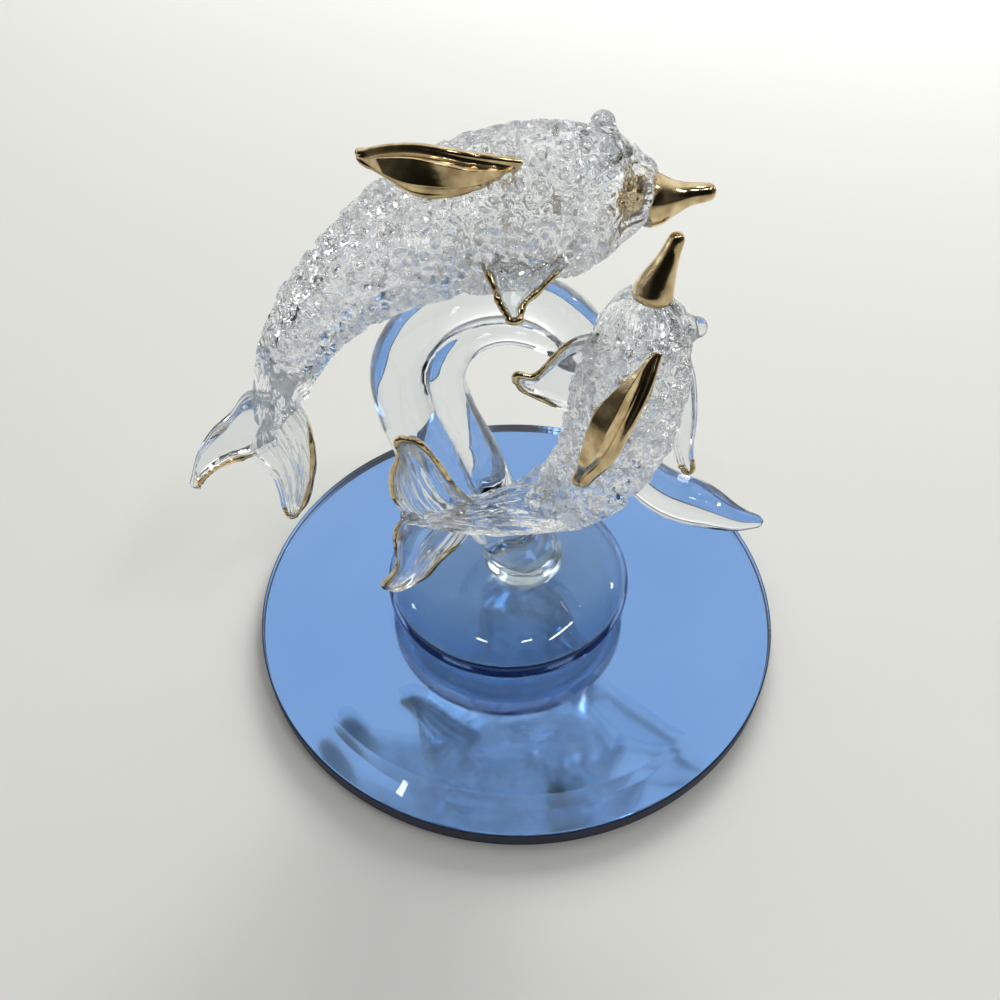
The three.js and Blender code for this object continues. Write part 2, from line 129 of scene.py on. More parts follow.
SMALL = {
    "body": [
        (18, -6, 60.6, 1.4), (17.9, -6.1, 59.8, 2.6), (17.6, -6.2, 58.1, 5.2), (17, -6.8, 53.9, 7.1),
        (16.5, -7.4, 48.9, 8.4), (15.8, -8.2, 42.3, 9.1), (14.4, -9.3, 35.9, 8.7), (12, -10.4, 30.5, 7.8),
        (8.2, -11.4, 26.7, 6.9), (3.6, -12.2, 24.5, 5.8), (-1.9, -12.8, 23, 4.5), (-8.6, -13.2, 22.5, 3.3),
        (-14, -13.4, 22.5, 2.3), (-18, -13.5, 22.6, 1.5),
    ],
    "beak": [
        (17.6, -6, 58.4, 0.8), (17.6, -6, 58.6, 2.3), (17.7, -6, 59.2, 2.9), (18.1, -5.9, 61.1, 2.6),
        (18.8, -5.7, 63.3, 1.9), (19.5, -5.3, 65.5, 1.35), (20, -5.1, 67.1, 1.15),
    ],
    "bead": [(20.6, -6.8, 54, 3.6), (23, -6.7, 54.2, 2.6), (24.5, -6.6, 54.4, 1.6)],
    "calm": (0.07, 0.68),
    "dorsal": {
        "lead": [(18.3, -13.4, 54.9), (16.8, -16.6, 51.3), (14.6, -18.9, 46.3), (12.3, -19.6, 40.5),
                 (9.2, -18.6, 35.2)],
        "trail": [(17.9, -13.2, 54.8), (14.4, -14.6, 50.3), (10.8, -15, 46.3), (9.6, -16.4, 41.1),
                  (8.2, -17.9, 35.1)],
        "rim": 0.55, "web": 0.6, "soft": 2, "knob": 0.3,
        "swell": [(0.2, 0.22, 0.24, 0.8, -0.2, 1.2), (0.52, 0.5, 0.22, 1.0, -0.3, 1.3),
                  (0.82, 0.78, 0.22, 0.7, -0.2, 1.1)],
    },
    "blades": {
        "left_fin": {
            "lead": [(11, -5.8, 52.7), (7.1, -6, 51.6), (4.5, -6, 48.5), (1.9, -6, 45.3), (-0.6, -6, 45.6)],
            "trail": [(9, -7.4, 39.9), (5.5, -6.8, 40.3), (3.2, -6.3, 41.3), (0.3, -6, 42.7), (-0.9, -6, 44.5)],
            "rim": 0.42, "web": 0.35, "swell": [(0.5, 0.5, 0.38, 0.9, -0.3, 1)], "gold": (0.2, 0.2),
        },
        "right_fin": {
            "lead": [(21.4, -6, 53.4), (25, -6.8, 47.4), (26.6, -8, 39.9), (27, -8.8, 32.9), (27.7, -9, 28.9)],
            "trail": [(21, -9.4, 41.3), (23.2, -9.4, 36.9), (24.3, -9.4, 33.3), (25.5, -9.3, 30.3),
                      (26.8, -9.2, 28.3)],
            "rim": 0.42, "web": 0.35, "swell": [(0.5, 0.5, 0.4, 0.7, -0.3, 1.1)], "gold": (0.85, 0.75),
        },
        "upper_fluke": {
            "lead": [(-7.6, -13, 24.9), (-10.9, -13.4, 30.3), (-13, -13.6, 35.1), (-15.4, -13.2, 38.4),
                     (-17.8, -12.8, 38.9)],
            "trail": [(-17.6, -13.4, 21.9), (-20, -13.2, 26.5), (-20, -13, 31.5), (-18.6, -12.8, 35.5),
                      (-18.7, -12.8, 37.8)],
            "rim": 0.42, "web": 0.4, "swell": [(0.25, 0.3, 0.22, 0.9, -0.3, 1), (0.72, 0.7, 0.24, 0.9, -0.2, 0.95)],
            "dimples": [(0.5, 0.65, 0.35, 0.25, 0.3, 0.9)], "gold": (0.15, 0.12),
        },
        "lower_fluke": {
            "lead": [(-7.6, -13, 20.3), (-10.2, -13.6, 16), (-12.9, -13.8, 12.9), (-16.7, -13.8, 7.1),
                     (-21.4, -13.6, 3.9), (-23.6, -13.6, 4.3)],
            "trail": [(-17.6, -13.4, 23.3), (-20.3, -13.6, 19.5), (-20.8, -13.7, 14.5), (-21.2, -13.7, 9.3),
                      (-23.5, -13.6, 5.5)],
            "rim": 0.42, "web": 0.4, "swell": [(0.25, 0.3, 0.24, 0.9, -0.3, 1), (0.72, 0.7, 0.2, 0.7, -0.2, 0.95)],
            "dimples": [(0.35, 0.35, 0.25, 0.3, 0.3, 0.9)], "gold": (0.12, 0.12),
        },
    },
}


def posed(plan):
    """The same plan with heights above the dome's top turned to heights above the table."""
    if isinstance(plan, dict):
        return {key: posed(value) for key, value in plan.items()}
    if isinstance(plan, list):
        return [posed(value) for value in plan]
    if isinstance(plan, tuple) and len(plan) > 2:
        return (plan[0], plan[1], plan[2] + SEAT_Z, *plan[3:])
    return plan


WAVE_OUTER, WAVE_INNER, LARGE, SMALL = (posed(plan) for plan in (WAVE_OUTER, WAVE_INNER, LARGE, SMALL))


def linear(text):
    """Linear colour with alpha 1 from an sRGB hex text."""
    srgb = [int(text[i:i + 2], 16) / 255 for i in (0, 2, 4)]
    return [c / 12.92 if c <= 0.04045 else ((c + 0.055) / 1.055) ** 2.4 for c in srgb] + [1.0]


def add_mesh(name, verts, faces, look, smooth=True):
    """Object from points in mm and a list of index arrays, each of faces with the same corner count."""
    mesh = bpy.data.meshes.new(name)
    verts = np.asarray(verts, float) * MM
    mesh.vertices.add(len(verts))
    mesh.vertices.foreach_set("co", verts.ravel())
    loops = np.concatenate([f.ravel() for f in faces]).astype(np.int32)
    totals = np.concatenate([np.full(len(f), f.shape[1]) for f in faces])
    starts = np.concatenate([[0], np.cumsum(totals)[:-1]])
    mesh.loops.add(len(loops))
    mesh.loops.foreach_set("vertex_index", loops)
    mesh.polygons.add(len(totals))
    mesh.polygons.foreach_set("loop_start", starts.astype(np.int32))
    mesh.polygons.foreach_set("use_smooth", np.full(len(totals), smooth))
    mesh.update(calc_edges=True)
    mesh.validate()
    mesh.materials.append(look)
    piece = bpy.data.objects.new(name, mesh)
    bpy.context.scene.collection.objects.link(piece)
    return piece


def closed_skin(rings, first, last):
    """Points and faces of a closed skin: rings of shape (n, sides, 3) and one point at each end."""
    count, sides, _ = rings.shape
    points = np.concatenate([[first], rings.reshape(-1, 3), [last]])
    i = np.arange(sides)
    j = (i + 1) % sides
    base = 1 + np.arange(count - 1)[:, None] * sides
    quads = np.stack([base + i, base + j, base + sides + j, base + sides + i], -1).reshape(-1, 4)
    end = 1 + (count - 1) * sides
    tips = np.concatenate([
        np.stack([np.zeros(sides, int), 1 + j, 1 + i], -1),
        np.stack([end + i, end + j, np.full(sides, len(points) - 1)], -1),
    ])
    return points, [quads, tips]


def curve(rows, t):
    """Centripetal Catmull-Rom curve through rows, at shares t of its spans; extra columns follow along."""
    rows = np.asarray(rows, float)
    rows = np.vstack([2 * rows[0] - rows[1], rows, 2 * rows[-1] - rows[-2]])
    spans = len(rows) - 3
    place = np.clip(np.asarray(t, float), 0, 1) * spans
    i = np.minimum(place.astype(int), spans - 1)
    w = (place - i)[:, None]
    p0, p1, p2, p3 = (rows[i + k] for k in range(4))
    gap = lambda a, b: np.linalg.norm(a[:, :3] - b[:, :3], axis=1, keepdims=True) ** 0.5
    d0, d1, d2 = gap(p0, p1), gap(p1, p2), gap(p2, p3)
    m1 = ((p1 - p0) / d0 - (p2 - p0) / (d0 + d1) + (p2 - p1) / d1) * d1
    m2 = ((p2 - p1) / d1 - (p3 - p1) / (d1 + d2) + (p3 - p2) / d2) * d1
    return p1 + m1 * w + (3 * (p2 - p1) - 2 * m1 - m2) * w ** 2 + (2 * (p1 - p2) + m1 + m2) * w ** 3


def tube_rings(rows, sides, steps):
    """Rings (n, sides, 3) round the curve of the rows, their outward ways, radii and the two end points."""
    t = np.linspace(0, 1, steps + 1)
    spots = curve(rows, t)
    middle, size = spots[:, :3], spots[:, 3]
    along = np.gradient(middle, axis=0)
    along /= np.linalg.norm(along, axis=1, keepdims=True)
    cap = np.linspace(0, math.pi / 2, max(4, sides // 16) + 1)[1:-1]
    start = (middle[0] - along[0] * size[0] * np.sin(cap)[::-1, None], size[0] * np.cos(cap)[::-1])
    end = (middle[-1] + along[-1] * size[-1] * np.sin(cap)[:, None], size[-1] * np.cos(cap))
    centre = np.concatenate([start[0], middle, end[0]])
    radius = np.concatenate([start[1], size, end[1]])
    way = np.concatenate([np.repeat(along[:1], len(cap), 0), along, np.repeat(along[-1:], len(cap), 0)])
    across = np.zeros_like(way)
    side = np.array([0.0, 1.0, 0.0])
    for k, d in enumerate(way):
        side = side - d * (side @ d)
        side /= np.linalg.norm(side)
        across[k] = side
    up = np.cross(way, across)
    angle = np.linspace(0, 2 * math.pi, sides, endpoint=False)
    outward = across[:, None] * np.cos(angle)[None, :, None] + up[:, None] * np.sin(angle)[None, :, None]
    rings = centre[:, None] + radius[:, None, None] * outward
    return rings, outward, radius, middle[0] - along[0] * size[0], middle[-1] + along[-1] * size[-1]


def rod(rows, sides, steps):
    """Closed round rod: circles of the rows' radius across the curve, with half-ball ends."""
    rings, _, _, first, last = tube_rings(rows, sides, steps)
    return closed_skin(rings, first, last)


def spun(rows, sides, steps, thread, depth, calm, rng):
    """Closed body of fused spun thread.

    Short curled threads are laid all over the round skin. The height at a point is the highest round back
    of the threads there, and depth below the skin between them. calm gives two shares of the length: before
    the first and after the second the glass is drawn smooth and only flows in long ripples."""
    rings, outward, radius, first, last = tube_rings(rows, sides, steps)
    count = len(rings)
    hop = np.linalg.norm(np.gradient(rings.mean(1), axis=0), axis=1)
    arc = radius * 2 * math.pi / sides
    place = np.concatenate([[0], np.cumsum(hop)[:-1]])
    share = place / place[-1]
    weight = hop * radius
    amount = int(weight.sum() * 2 * math.pi * 0.9 / (thread * 6.4 * thread))
    begin = rng.choice(count, amount, p=weight / weight.sum())
    samples = 13
    stride = 0.55 * thread
    bend = rng.choice([-1, 1], amount) * rng.uniform(0.5, 1.6, amount) / (2.0 * thread)
    turn = rng.uniform(0, 2 * math.pi, amount)[:, None] + bend[:, None] * stride * np.arange(samples)
    row = begin[:, None] + np.cumsum(np.cos(turn), 1) * stride / hop[begin, None]
    column = rng.uniform(0, sides, amount)[:, None] + np.cumsum(np.sin(turn), 1) * stride / arc[begin, None]
    size = thread * rng.uniform(0.75, 1.25, amount)[:, None]
    lift = rng.uniform(-1.4, 0.0, amount)[:, None] * depth + 0 * turn
    height = np.full((count, sides), -2.0 * depth)
    reach_row = int(math.ceil(1.25 * thread / hop.mean()))
    reach_column = int(math.ceil(1.25 * thread / arc.max())) * 3
    for i in range(-reach_row, reach_row + 1):
        for j in range(-reach_column, reach_column + 1):
            r = np.round(row).astype(int) + i
            c = np.round(column).astype(int) + j
            inside = (r >= 0) & (r < count)
            r = np.clip(r, 0, count - 1)
            away = ((r - row) * hop[r]) ** 2 + ((c - column) * arc[r]) ** 2
            back = np.sqrt(np.maximum(size ** 2 - away, 0)) - size + lift
            ok = inside & (away < size ** 2)
            np.maximum.at(height, (r[ok], c[ok] % sides), back[ok])
    angle = np.linspace(0, 2 * math.pi, sides, endpoint=False)
    flow = -depth * (0.8 * np.abs(np.sin(3 * angle + (2 * np.sin(place * 0.18) + 0.12 * place)[:, None])) +
                     0.4 * np.abs(np.sin(7 * angle - (1.5 * np.sin(place * 0.4 + 1) + 0.2 * place)[:, None])))
    rough = np.clip((share - calm[0]) / 0.05, 0, 1) * np.clip((calm[1] - share) / 0.16, 0, 1)
    rough = (rough ** 2 * (3 - 2 * rough))[:, None]
    height = height * rough + flow * (1 - rough)
    height = (2 * height + np.roll(height, 1, 1) + np.roll(height, -1, 1)) / 4
    rings = rings + outward * np.minimum(height * np.minimum(1, radius / 2.5)[:, None], 0)[..., None]
    return closed_skin(rings, first, last)


def blade(shape, steps=80, across=84):
    """Closed fin: rings from the leading to the trailing edge, round rims and a web between them.

    Each swell adds a round backed lobe to the web: its place across the fin at root and tip, its half width
    there, its height, and where along the fin it starts and ends; soft is the power that flattens its borders.
    Each dimple adds fading rings round one spot: its place along and across, its reach along and across, its
    height and the number of rings. knob is how much thicker the rim gets at the very tip, in mm."""
    t = np.linspace(0, 1, steps + 1)
    lead, trail = curve(shape["lead"], t), curve(shape["trail"], t)
    middle = (lead + trail) / 2
    chord = trail - lead
    width = np.linalg.norm(chord, axis=1, keepdims=True)
    chord = chord / width
    span = np.gradient(middle, axis=0)
    normal = np.cross(chord, span)
    normal /= np.linalg.norm(normal, axis=1, keepdims=True)
    rim, web = shape["rim"] + shape.get("knob", 0) * np.exp(-((1 - t[:, None]) / 0.06) ** 2), shape["web"]
    share = np.linspace(0, 1, across // 2)
    shoulder = np.minimum(1.2 * rim, 0.3 * width)
    inner = shoulder + (width - 2 * shoulder) * share
    edge = np.clip(np.minimum(share, 1 - share) * 8, 0, 1)
    thick = web + 0 * inner
    narrow = np.minimum(1, width / (7 * rim))
    for start, end, half, high, low, top in shape["swell"]:
        away = (share - start - (end - start) * t[:, None]) / half
        along = (t[:, None] - (low + top) / 2) / ((top - low) / 2)
        thick = thick + (high * narrow * np.maximum(0, 1 - away ** 2) ** shape.get("soft", 1.5) *
                         np.maximum(0, 1 - along ** 4) ** 0.5)
    for spot, place, long, wide, high, rings in shape.get("dimples", ()):
        far = np.sqrt(((t[:, None] - spot) / long) ** 2 + ((share - place) / wide) ** 2)
        thick = thick + high * np.cos(2 * math.pi * rings * far) * np.exp(-far ** 2)
    thick = np.maximum(web * (1 - edge) + thick * edge, 0.12)
    around = np.linspace(-math.pi / 2, math.pi / 2, 9)
    near = -rim * np.cos(around), rim * np.sin(around)
    top = np.concatenate([near[0], inner, width - near[0], inner[:, ::-1]], axis=1)
    high = np.concatenate([near[1], thick, near[1][:, ::-1], -thick[:, ::-1]], axis=1)
    rings = lead[:, None] + chord[:, None] * top[..., None] + normal[:, None] * high[..., None]
    onward = span[-1] / np.linalg.norm(span[-1]) * rim[-1]
    ends = [middle[-1] + (rings[-1] - middle[-1]) * math.cos(a) + onward * math.sin(a) for a in (0.4, 0.8, 1.2)]
    return closed_skin(np.concatenate([rings, ends]), middle[0], middle[-1] + onward)


def gilded(shape, rng):
    """Rod of the gold coat on a fin's rim: down the leading edge, round the tip and back up the other edge.

    The shape's gold gives the share where it starts on the leading edge and where it ends on the other one."""
    low, back = shape["gold"]
    ends = [curve(shape[edge], (0.9, 1)) for edge in ("lead", "trail")]
    onward = sum(pair[1] - pair[0] for pair in ends)
    tip = (ends[0][1] + ends[1][1]) / 2 + onward / np.linalg.norm(onward) * shape["rim"] * 0.6
    lead = curve(shape["lead"], np.linspace(low, 1, 24))
    trail = curve(shape["trail"], np.linspace(1, back, 24))
    path = np.concatenate(([lead] if low < 1 else []) + [tip[None]] + ([trail] if back < 1 else []))
    count = len(path)
    swell = rng.normal(0, 0.06, count)
    swell = (swell + np.roll(swell, 1) + np.roll(swell, -1)) / 2
    fade = np.clip(np.minimum(np.arange(count), count - 1 - np.arange(count)) / 4, 0.25, 1)
    knob = 0.11 * np.exp(-((np.arange(count) - len(lead) * (low < 1)) / 1.6) ** 2)
    return rod(np.column_stack([path, (shape["rim"] + 0.05 + swell + knob) * fade]), 16, 4 * count)


def lathe(profile, sides, x=0.0, y=0.0):
    """Closed turned shape from rows of radius and height, starting and ending on the axis."""
    profile = np.asarray(profile, float)
    angle = np.linspace(0, 2 * math.pi, sides, endpoint=False)
    ring = np.stack([np.cos(angle), np.sin(angle)], -1)
    rings = np.concatenate([
        profile[1:-1, None, :1] * ring[None] + np.array([x, y]),
        np.repeat(profile[1:-1, None, 1:], sides, 1)], axis=2)
    return closed_skin(rings, (x, y, profile[0, 1]), (x, y, profile[-1, 1]))


def node(tree, kind, settings=(), **links):
    """Adds a node, sets its properties and socket values, and links sockets given as (node, output)."""
    made = tree.nodes.new(kind)
    for key, value in dict(settings).items():
        if isinstance(key, str) and hasattr(made, key) and key not in made.inputs:
            setattr(made, key, value)
        else:
            made.inputs[key].default_value = value
    for key, source in links.items():
        target = made.inputs[int(key[1:])] if key[0] == "i" and key[1:].isdigit() else made.inputs[key]
        tree.links.new(source[0].outputs[source[1]], target)
    return made


def material(name, values):
    """Material whose principled shader has these plain values; returns it, its tree and the shader."""
    made = bpy.data.materials.new(name)
    made.use_nodes = True
    shader = made.node_tree.nodes["Principled BSDF"]
    for key, value in values.items():
        shader.inputs[key].default_value = value
    return made, made.node_tree, shader


def bump(tree, shader, height, strength, distance):
    """Bump from a height output into the shader's normal."""
    made = node(tree, "ShaderNodeBump", {"Strength": strength, "Distance": distance}, Height=height)
    tree.links.new(made.outputs[0], shader.inputs["Normal"])


def two_tones(tree, shader, source, stops):
    """Base colour that runs between two sRGB tones, given as (share of the source, tone)."""
    ramp = node(tree, "ShaderNodeValToRGB", {}, Fac=source)
    for element, (spot, tone) in zip(ramp.color_ramp.elements, stops):
        element.position, element.color = spot, linear(tone)
    tree.links.new(ramp.outputs[0], shader.inputs["Base Color"])
    return ramp


def noise(tree, scale_mm, detail=2.0):
    """Noise in object coordinates with features about scale_mm wide."""
    place = node(tree, "ShaderNodeTexCoord")
    return node(tree, "ShaderNodeTexNoise", {"Scale": 1000.0 / scale_mm, "Detail": detail},
                Vector=(place, "Object"))


def clear_glass(name, tint, wobble_mm, strength, clear=1.0, alpha=1.0):
    """Lampworked glass: see-through, with the faint unevenness that flame work leaves.

    An alpha below 1 lets a share of the light pass unbent, which keeps the glass paler than real glass."""
    made, tree, shader = material(name, {"Base Color": linear(tint), "Roughness": 0.0, "IOR": 1.5,
                                         "Transmission Weight": clear, "Alpha": alpha})
    bump(tree, shader, (noise(tree, wobble_mm, 1.0), 0), strength, 0.0004)
    return made


def dome_glass():
    """Light blue lampworked glass: see-through, with painted shade that makes it deeper blue at the widest ring, and
    paler towards the collar.

    The alpha makes it paler, nearer to the photo's dome, whose front is paler still."""
    made, tree, shader = material("blue_dome_glass", {"Roughness": 0.0, "IOR": 1.5, "Transmission Weight": 0.92,
                                                      "Alpha": 0.8})
    place = node(tree, "ShaderNodeTexCoord")
    split = node(tree, "ShaderNodeSeparateXYZ", {}, Vector=(place, "Object"))
    share = node(tree, "ShaderNodeMapRange", {"From Min": MIRROR_THICKNESS * MM, "From Max": SEAT_Z * MM},
                 Value=(split, "Z"))
    ramp = two_tones(tree, shader, (share, 0), ((0.0, "C9DAE6"), (1.0, "CBD9DB")))
    # painted shade: the deeper blue stop at the widest ring, fading towards the collar
    for spot, tone in ((DOME_WIDEST_HEIGHT / DOME_HEIGHT, "7FAADC"), (0.6, "A8CDEA"), (0.85, "BFDCE6")):
        ramp.color_ramp.elements.new(spot).color = linear(tone)
    bump(tree, shader, (noise(tree, 9.0, 1.0), 0), 0.3, 0.0005)
    return made


def gold_lustre():
    """Gold lustre fired on glass: bronze where it lies thin, brighter in its thick streaks, glossy on top."""
    made, tree, shader = material("gold_lustre", {"Metallic": 1.0, "Roughness": 0.14,
                                                  "Coat Weight": 0.7, "Coat Roughness": 0.02})
    two_tones(tree, shader, (noise(tree, 2.2, 3.0), 0), ((0.35, "B89B6C"), (0.65, "F0D8A8")))
    bump(tree, shader, (noise(tree, 1.6, 1.0), 0), 0.12, 0.0003)
    return made


def melt_seam():
    """Milky seam where the gilded beak is melted on the head: a soft grey seen through the clear head."""
    made, tree, shader = material("milky_melt_seam", {"Roughness": 0.5})
    two_tones(tree, shader, (noise(tree, 1.2, 3.0), 0), ((0.35, "A39B8B"), (0.65, "D9D7D0")))
    bump(tree, shader, (noise(tree, 0.8, 2.0), 0), 0.3, 0.0002)
    return made


def silvering():
    """Blue silvering behind the mirror glass: an even light blue whose reflections go soft with distance."""
    made, tree, shader = material("blue_silvering", {"Metallic": 1.0, "Roughness": 0.1})
    two_tones(tree, shader, (noise(tree, 30.0, 2.0), 0), ((0.3, "86B4EC"), (0.7, "8FBBF0")))
    return made


def backing_paint():
    """Dark navy paint on the mirror's back and on its ground edge: dull and faintly grainy."""
    made, tree, shader = material("navy_backing_paint", {"Roughness": 0.45})
    two_tones(tree, shader, (noise(tree, 3.0, 4.0), 0), ((0.3, "101C3F"), (0.7, "182A55")))
    bump(tree, shader, (noise(tree, 0.5, 4.0), 0), 0.2, 0.0002)
    return made


GLASS = clear_glass("clear_glass", "F6F9FB", 9.0, 0.25)                       # drawn rod: smooth, long soft waves
FIN_GLASS = clear_glass("fin_glass", "F2F5F7", 4.0, 0.6)                      # pressed flat: lively folds
SPUN_GLASS = clear_glass("spun_glass", "FBFCFD", 0.8, 0.25)                   # fused thread: a fine sparkle
DOME_GLASS = dome_glass()
PAINTED_PALE_FOOT_GLASS = clear_glass("painted_pale_light_foot_glass", "C4DCF4", 6.0, 0.3, 0.8, 0.4)     # light blue dome glass with painted light: a pale band under the widest ring, where the dome bends and reflects light
PAINTED_DARK_REFLECTION_GLASS = clear_glass("painted_dark_reflection_glass", "0F2560", 6.0, 0.2, 0.5)          # painted dark reflection: a navy line on the widest ring, where the dome's edge shows the dark room
MIRROR_GLASS = clear_glass("mirror_glass", "EAF2FA", 40.0, 0.05)              # float glass: almost flat, clear
GOLD = gold_lustre()
SEAM = melt_seam()
SILVERING = silvering()
PAINT = backing_paint()


def keep(piece, node_name):
    """The piece rides on the row's one body and stands for the CAD node of that name."""
    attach(piece, "root")
    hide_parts(node_name)
    return piece


def make_mirror():
    """Mirror glass with its bevel, the silvering under it and a cup of paint round both.

    Gaps of 0.02 to 0.05 mm keep the glass, the silvering and the paint apart."""
    rim = MIRROR_RADIUS - EDGE_PAINT
    top = MIRROR_EDGE - EDGE_PAINT
    glass = [
        (0, BACKING + 0.02), (rim - 0.02, BACKING + 0.02), (rim - 0.02, top + 0.02), (rim + 0.1, top + 0.02),
        (rim + 0.1, MIRROR_EDGE - 0.1), (rim - 0.05, MIRROR_EDGE),
        (MIRROR_RADIUS - BEVEL_WIDTH + 0.1, MIRROR_THICKNESS - 0.01),
        (MIRROR_RADIUS - BEVEL_WIDTH - 0.1, MIRROR_THICKNESS), (0, MIRROR_THICKNESS),
    ]
    keep(add_mesh("mirror_glass", *lathe(glass, 256), MIRROR_GLASS, smooth=False), "bevelled_mirror")
    silver = [(0, BACKING - 0.05), (rim - 0.2, BACKING - 0.05), (rim - 0.2, BACKING), (0, BACKING)]
    keep(add_mesh("mirror_silvering", *lathe(silver, 256), SILVERING, smooth=False), "bevelled_mirror")
    paint = [(0, 0), (MIRROR_RADIUS - 0.1, 0), (MIRROR_RADIUS, 0.1), (MIRROR_RADIUS, top - 0.1),
             (MIRROR_RADIUS - 0.1, top), (rim, top), (rim, BACKING - 0.07), (0, BACKING - 0.07)]
    keep(add_mesh("mirror_backing", *lathe(paint, 256), PAINT, smooth=False), "bevelled_mirror")


def make_dome():
    """Dome: a flat foot, a quarter ellipse out to the widest ring and another one up to the top.

    The faces round the widest ring carry a painted dark reflection, a navy line, and the side faces below it the foot
    glass with its painted pale light."""
    low = np.linspace(0, math.pi / 2, 24)[:-1]
    high = np.linspace(0, math.pi / 2, 48)[:-1]
    profile = [(0, -GLUE), (DOME_FOOT_RADIUS, -GLUE)]
    profile += [(DOME_FOOT_RADIUS + (DOME_RADIUS - DOME_FOOT_RADIUS) * math.sin(a),
                 DOME_WIDEST_HEIGHT * (1 - math.cos(a))) for a in low[1:]]
    profile += [(DOME_RADIUS * math.cos(a),
                 DOME_WIDEST_HEIGHT + (DOME_HEIGHT - DOME_WIDEST_HEIGHT) * math.sin(a)) for a in high]
    profile += [(0, DOME_HEIGHT)]
    profile = np.array(profile) + np.array([0, MIRROR_THICKNESS])
    points, faces = lathe(profile, 192, *DOME_OFFSET)
    piece = add_mesh("dome", points, faces, DOME_GLASS)
    # painted light: the side faces below the widest ring are paler than the dome glass
    piece.data.materials.append(PAINTED_PALE_FOOT_GLASS)
    # painted dark reflection: a navy line on the faces round the widest ring
    piece.data.materials.append(PAINTED_DARK_REFLECTION_GLASS)
    middle = np.concatenate([points[f][:, :, 2].mean(1) for f in faces]) - MIRROR_THICKNESS - DOME_WIDEST_HEIGHT
    flat = np.concatenate([np.ptp(points[f][:, :, 2], axis=1) < 0.001 for f in faces])
    # index 2: the painted dark reflection round the widest ring; index 1: the painted pale light below it
    which = np.where((middle > PAINTED_DARK_REFLECTION_BAND[1]) | flat, 0, np.where(middle > PAINTED_DARK_REFLECTION_BAND[0], 2, 1))
    piece.data.polygons.foreach_set("material_index", which.astype(np.int32))
    return keep(piece, "glass_dome")


def joined(name, parts, voxel_mm, rounds):
    """One molten form from overlapping closed parts: remeshed in voxels, then smoothed."""
    bpy.ops.object.select_all(action="DESELECT")
    pieces = [add_mesh(name, points, faces, GLASS) for points, faces in parts]
    for piece in pieces:
        piece.select_set(True)
    bpy.context.view_layer.objects.active = pieces[0]
    bpy.ops.object.join()
    piece = pieces[0]
    grid = piece.modifiers.new("remesh", "REMESH")
    grid.mode = "VOXEL"
    grid.voxel_size = voxel_mm * MM
    soft = piece.modifiers.new("soft", "SMOOTH")
    soft.factor = 0.5
    soft.iterations = rounds
    deps = bpy.context.evaluated_depsgraph_get()
    mesh = bpy.data.meshes.new_from_object(piece.evaluated_get(deps))
    mesh.name = name
    old = piece.data
    piece.modifiers.clear()
    piece.data = mesh
    bpy.data.meshes.remove(old)
    mesh.polygons.foreach_set("use_smooth", np.ones(len(mesh.polygons), bool))
    return piece


def make_wave():
    """Wave: the outer rod with its curled tip, the inner rod and the collar, melted into one."""
    x, y = WAVE_OUTER[0][:2]
    collar = [(0, -COLLAR_HEIGHT), (COLLAR_RADIUS, -COLLAR_HEIGHT), (COLLAR_RADIUS, 0),
              (COLLAR_NECK_RADIUS, COLLAR_HEIGHT), (0, COLLAR_HEIGHT)]
    collar = np.array(collar) + np.array([0, SEAT_Z - COLLAR_SINK])
    parts = [rod(WAVE_OUTER, 48, 220), rod(WAVE_INNER, 40, 120), lathe(collar, 64, x, y)]
    piece = joined("wave", parts, 0.4, 14)
    return keep(piece, "glass_wave")


# Corners and faces of a regular twenty-sided form with a radius of 1
ICO = (1 + 5 ** 0.5) / 2
POCKET = np.array([(-1, ICO, 0), (1, ICO, 0), (-1, -ICO, 0), (1, -ICO, 0), (0, -1, ICO), (0, 1, ICO), (0, -1, -ICO),
                   (0, 1, -ICO), (ICO, 0, -1), (ICO, 0, 1), (-ICO, 0, -1), (-ICO, 0, 1)]) / 1.9
POCKET_FACES = np.array([(0, 11, 5), (0, 5, 1), (0, 1, 7), (0, 7, 10), (0, 10, 11), (1, 5, 9), (5, 11, 4), (11, 10, 2),
                         (10, 7, 6), (7, 1, 8), (3, 9, 4), (3, 4, 2), (3, 2, 6), (3, 6, 8), (3, 8, 9), (4, 9, 5),
                         (2, 4, 11), (6, 2, 10), (8, 6, 7), (9, 8, 1)])


def pockets(rows, spacing, size, depth, calm, rng):
    """Small pockets of air shut in between the threads: turned and stretched twenty-sided forms, faces inwards.

    They lie between the two depths under the round skin, about spacing apart, and none near the calm ends. The
    valleys between the threads are as deep, so that many pockets reach out through them."""
    rings, outward, radius, _, _ = tube_rings(rows, 90, 140)
    hop = np.linalg.norm(np.gradient(rings.mean(1), axis=0), axis=1)
    weight = hop * radius
    share = np.cumsum(hop) / hop.sum()
    weight[(share < calm[0] + 0.03) | (share > calm[1] - 0.06) | (radius < 2 * depth[1])] = 0
    count = int((weight * 2 * math.pi).sum() / spacing ** 2)
    row = rng.choice(len(rings), count, p=weight / weight.sum())
    column = rng.integers(0, 90, count)
    spots = rings[row, column] - outward[row, column] * rng.uniform(*depth, (count, 1))
    axes, _ = np.linalg.qr(rng.normal(size=(count, 3, 3)))
    axes[np.linalg.det(axes) < 0] *= -1
    scale = size * rng.uniform(0.6, 1.3, (count, 1)) * rng.uniform(0.6, 1.5, (count, 3))
    shape = POCKET[None] * scale[:, None] * rng.uniform(0.75, 1.25, (count, len(POCKET), 1))
    points = spots[:, None] + shape @ axes
    index = POCKET_FACES[None, :, ::-1] + (np.arange(count) * len(POCKET))[:, None, None]
    return points.reshape(-1, 3), [index.reshape(-1, 3)]


